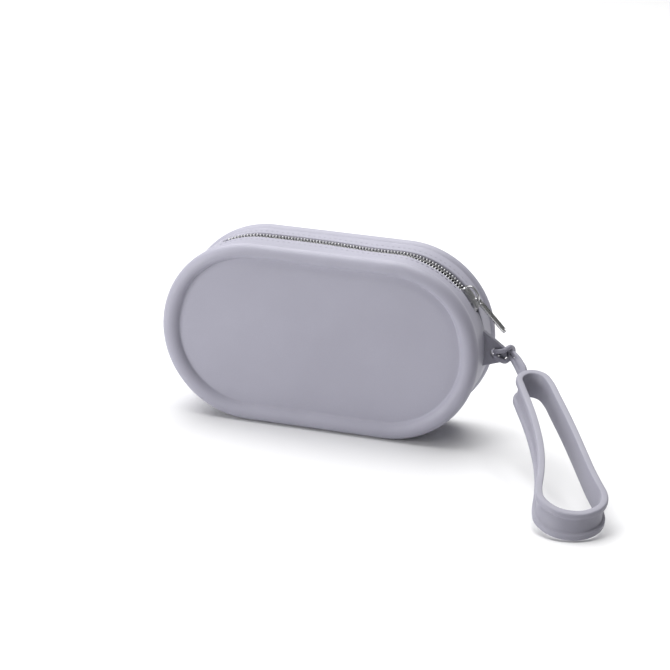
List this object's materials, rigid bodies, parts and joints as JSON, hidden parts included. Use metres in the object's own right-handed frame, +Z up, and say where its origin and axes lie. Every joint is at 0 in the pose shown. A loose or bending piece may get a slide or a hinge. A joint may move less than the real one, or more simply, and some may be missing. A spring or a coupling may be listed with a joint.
{
  "type": "zip pouch",
  "caption": "Soft silicone zip pouch with round ends and raised rims, a zip over the top, a metal pull tab, and a moulded wrist strap hitched to a side tab.",
  "frame": {"origin": "middle of the whole object's footprint, strap included, on the surface that it stands on", "axes": "+X along the pouch's length towards the strap, +Y to the back, +Z up"},
  "size_m": [0.2232, 0.1226, 0.085],
  "materials": {
    "silicone": "matte lavender-grey silicone",
    "strap_silicone": "matte lavender-grey silicone",
    "zip_tape": "woven polyester tape, lavender grey",
    "zip_teeth": "metallised silver coil",
    "zip_metal": "polished nickel plate"
  },
  "bodies": {
    "pouch": {"front_shell": "silicone", "rear_shell": "silicone", "strap_lug": "silicone", "zip_tape_front": "zip_tape", "zip_tape_rear": "zip_tape", "tooth_chain_front": "zip_teeth", "tooth_chain_rear": "zip_teeth", "top_stop_front": "zip_metal", "top_stop_rear": "zip_metal", "bottom_stop": "zip_metal"},
    "slider": {"slider": "zip_metal"},
    "pull": {"pull_tab": "zip_metal"},
    "strap": {"wrist_strap": "strap_silicone"}
  },
  "joints": [
    {"name": "slider_travel", "type": "hinge", "parent": "pouch", "child": "slider", "pos_m": [-0.00414, 0.04079, 0.0425], "axis": [0, -1, 0], "range_deg": [0, 50], "deforming": ["tooth_chain_front", "tooth_chain_rear"]},
    {"name": "pull_swing", "type": "hinge", "parent": "slider", "child": "pull", "pos_m": [0.03215, 0.04079, 0.06689], "axis": [0, -1, 0], "range_deg": [0, 114]},
    {"name": "strap_swing", "type": "hinge", "parent": "pouch", "child": "strap", "pos_m": [0.04256, 0.04079, 0.0423], "axis": [0, -1, 0], "range_deg": [0, 45]}
  ]
}
